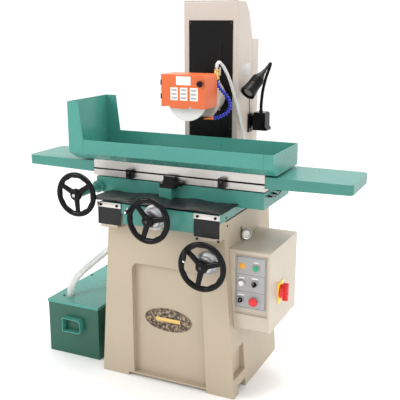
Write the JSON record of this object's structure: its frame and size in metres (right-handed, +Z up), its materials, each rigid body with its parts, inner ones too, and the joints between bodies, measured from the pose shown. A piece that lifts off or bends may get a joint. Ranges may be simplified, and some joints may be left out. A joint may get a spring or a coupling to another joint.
{
  "type": "surface grinder",
  "caption": "Manual surface grinder: cream base and column, green saddle and table with splash tray, guarded wheel, handwheels, control box and coolant tank.",
  "frame": {"origin": "centre of the plan box, at floor height", "axes": "+X to the operator's right along the table, +Y from the operator to the column, +Z up"},
  "size_m": [1.688, 1.0689, 1.831],
  "materials": {
    "cream_casting": "smooth cream paint over casting",
    "cream_sheet": "cream powder coat",
    "green_casting": "green gloss paint over casting",
    "green_sheet": "green gloss paint",
    "dark_green_sheet": "dark green paint",
    "black_enamel": "black enamel",
    "black_plastic": "black plastic",
    "rubber": "matt black rubber",
    "steel": "ground steel",
    "chrome": "bright chrome",
    "brass": "polished brass",
    "orange_guard": "orange paint",
    "orange_plastic": "orange plastic",
    "grey_panel": "grey overlay on plate",
    "motor_grey": "grey motor paint",
    "abrasive": "white bonded abrasive",
    "clear_hose": "clear vinyl hose",
    "red_plastic": "red plastic",
    "green_plastic": "green plastic",
    "white_plastic": "white plastic",
    "blue_plastic": "blue plastic"
  },
  "bodies": {
    "machine": {"base_casting": "cream_casting", "column_casting": "cream_casting", "column_rear_cover": "cream_sheet", "column_way_cover": "black_enamel", "front_plaque": "brass", "electrical_box": "cream_sheet", "control_panel": "grey_panel", "coolant_tank": "dark_green_sheet", "tank_lid": "green_sheet", "tank_handle": "dark_green_sheet", "coolant_pump": "black_enamel", "drain_hose": "clear_hose", "supply_hose": "clear_hose", "lamp_mount": "black_enamel"},
    "cross_slide": {"saddle": "green_casting", "shaft_tube": "green_casting", "table_stop": "black_enamel", "way_flap_left": "rubber", "way_flap_right": "rubber", "way_cover_sheet": "rubber"},
    "cross_wheel": {"cross_feed_handwheel": "black_enamel", "cross_feed_dial": "chrome", "cross_feed_screw": "steel"},
    "cross_handle": {"cross_feed_crank": "black_plastic"},
    "drive_wheel": {"table_handwheel": "black_enamel", "pinion_shaft": "steel"},
    "work_table": {"table": "steel", "table_wing_left": "green_casting", "table_wing_right": "green_casting", "splash_tray": "green_sheet", "table_rack": "steel"},
    "left_dog": {"trip_dog_left": "black_enamel"},
    "right_dog": {"trip_dog_right": "black_enamel"},
    "lift_wheel": {"elevating_handwheel": "black_enamel", "elevating_dial": "chrome", "elevating_shaft": "steel"},
    "lift_handle": {"elevating_crank": "black_plastic"},
    "lift_screw": {"elevating_screw": "steel"},
    "head": {"spindle_housing": "cream_casting", "slot_cover": "black_enamel", "wheel_guard": "orange_guard", "spindle_motor": "motor_grey", "spindle_bearing": "steel", "coolant_valve": "brass", "coolant_arm": "blue_plastic", "coolant_nozzle": "orange_plastic"},
    "door": {"guard_door": "orange_guard"},
    "door_knob": {"guard_knob": "black_plastic"},
    "spindle": {"spindle_shaft": "steel", "wheel_flange": "steel", "grinding_wheel": "abrasive"},
    "cock_lever": {"valve_lever": "steel"},
    "start": {"start_button": "green_plastic"},
    "white": {"white_button": "white_plastic"},
    "estop": {"emergency_stop": "red_plastic"},
    "coolant_knob": {"coolant_switch": "black_plastic"},
    "mode_knob": {"mode_selector": "black_plastic"},
    "isolator": {"main_disconnect": "red_plastic"},
    "lamp_arm": {"lamp_gooseneck": "black_enamel"},
    "lamp_shade": {"lamp_head": "black_enamel"}
  },
  "joints": [
    {"name": "cross_feed_turn", "type": "hinge", "parent": "cross_slide", "child": "cross_wheel", "pos_m": [0, -0.455, 0.873], "axis": [0, 1, 0], "range_deg": [-5765, 5405]},
    {"name": "saddle_slide", "type": "slide", "parent": "machine", "child": "cross_slide", "axis": [0, 1, 0], "range_m": [-0.08, 0.075], "deforming": ["way_flap_left", "way_flap_right", "drain_hose"]},
    {"name": "cross_handle_spin", "type": "hinge", "parent": "cross_wheel", "child": "cross_handle", "pos_m": [-0.083, -0.515, 0.916], "axis": [0, 1, 0], "continuous": true},
    {"name": "table_slide", "type": "slide", "parent": "cross_slide", "child": "work_table", "axis": [1, 0, 0], "range_m": [-0.165, 0.14]},
    {"name": "table_wheel_turn", "type": "hinge", "parent": "cross_slide", "child": "drive_wheel", "pos_m": [-0.42, -0.395, 0.936], "axis": [0, 1, 0], "range_deg": [-634, 747]},
    {"name": "left_dog_slide", "type": "slide", "parent": "work_table", "child": "left_dog", "axis": [1, 0, 0], "range_m": [-0.15, 0]},
    {"name": "right_dog_slide", "type": "slide", "parent": "work_table", "child": "right_dog", "axis": [1, 0, 0], "range_m": [0, 0.12]},
    {"name": "elevating_turn", "type": "hinge", "parent": "machine", "child": "lift_wheel", "pos_m": [0.25, -0.427, 0.685], "axis": [0, 1, 0], "range_deg": [-9509, 8789]},
    {"name": "elevating_screw_turn", "type": "hinge", "parent": "machine", "child": "lift_screw", "pos_m": [0.095, 0.2675, 0.7], "axis": [0, 0, 1], "range_deg": [-9519, 8799]},
    {"name": "head_slide", "type": "slide", "parent": "machine", "child": "head", "axis": [0, 0, 1], "range_m": [-0.066, 0.061], "deforming": ["supply_hose"]},
    {"name": "elevating_handle_fold", "type": "hinge", "parent": "lift_wheel", "child": "lift_handle", "pos_m": [0.17, -0.4435, 0.705], "axis": [-0.9806, 0, 0.1961], "range_deg": [-90, 0]},
    {"name": "spindle_spin", "type": "hinge", "parent": "head", "child": "spindle", "pos_m": [0, -0.045, 1.367], "axis": [0, 1, 0], "continuous": true},
    {"name": "guard_door_swing", "type": "hinge", "parent": "head", "child": "door", "pos_m": [-0.113, -0.105, 1.41], "axis": [0, 0, 1], "range_deg": [-105, 0]},
    {"name": "guard_knob_turn", "type": "hinge", "parent": "door", "child": "door_knob", "pos_m": [0.096, -0.13, 1.451], "axis": [0, 1, 0], "range_deg": [-180, 180]},
    {"name": "cock_lever_turn", "type": "hinge", "parent": "head", "child": "cock_lever", "pos_m": [0.1243, 0.0455, 1.486], "axis": [1, 0, 0], "range_deg": [0, 90]},
    {"name": "start_button_press", "type": "slide", "parent": "machine", "child": "start", "axis": [0, 1, 0], "range_m": [0, 0.003], "stiffness_N_per_m": 600, "springref_m": -0.001},
    {"name": "white_button_press", "type": "slide", "parent": "machine", "child": "white", "axis": [0, 1, 0], "range_m": [0, 0.003], "stiffness_N_per_m": 600, "springref_m": -0.001},
    {"name": "emergency_stop_press", "type": "slide", "parent": "machine", "child": "estop", "axis": [0, 1, 0], "range_m": [0, 0.005]},
    {"name": "coolant_switch_turn", "type": "hinge", "parent": "machine", "child": "coolant_knob", "pos_m": [0.433, -0.255, 0.573], "axis": [0, 1, 0], "range_deg": [-45, 45]},
    {"name": "mode_selector_turn", "type": "hinge", "parent": "machine", "child": "mode_knob", "pos_m": [0.366, -0.255, 0.488], "axis": [0, 1, 0], "range_deg": [-45, 45]},
    {"name": "main_disconnect_turn", "type": "hinge", "parent": "machine", "child": "isolator", "pos_m": [0.5083, -0.105, 0.5], "axis": [1, 0, 0], "range_deg": [0, 90]},
    {"name": "lamp_swing", "type": "hinge", "parent": "machine", "child": "lamp_arm", "pos_m": [0.206, 0.405, 1.2783], "axis": [0, 0, 1], "range_deg": [0, 100]},
    {"name": "lamp_tilt", "type": "hinge", "parent": "lamp_arm", "child": "lamp_shade", "pos_m": [0.25005, 0.37472, 1.50857], "axis": [0.9282, -0.3721, 0], "range_deg": [-5, 35]}
  ],
  "couplings": [
    {"joint": "cross_feed_turn", "follows": "saddle_slide", "rad_per_m": 1256.6},
    {"joint": "table_wheel_turn", "follows": "table_slide", "rad_per_m": -78.7},
    {"joint": "elevating_turn", "follows": "head_slide", "rad_per_m": 2513.3},
    {"joint": "elevating_screw_turn", "follows": "head_slide", "rad_per_m": 2513.3}
  ]
}
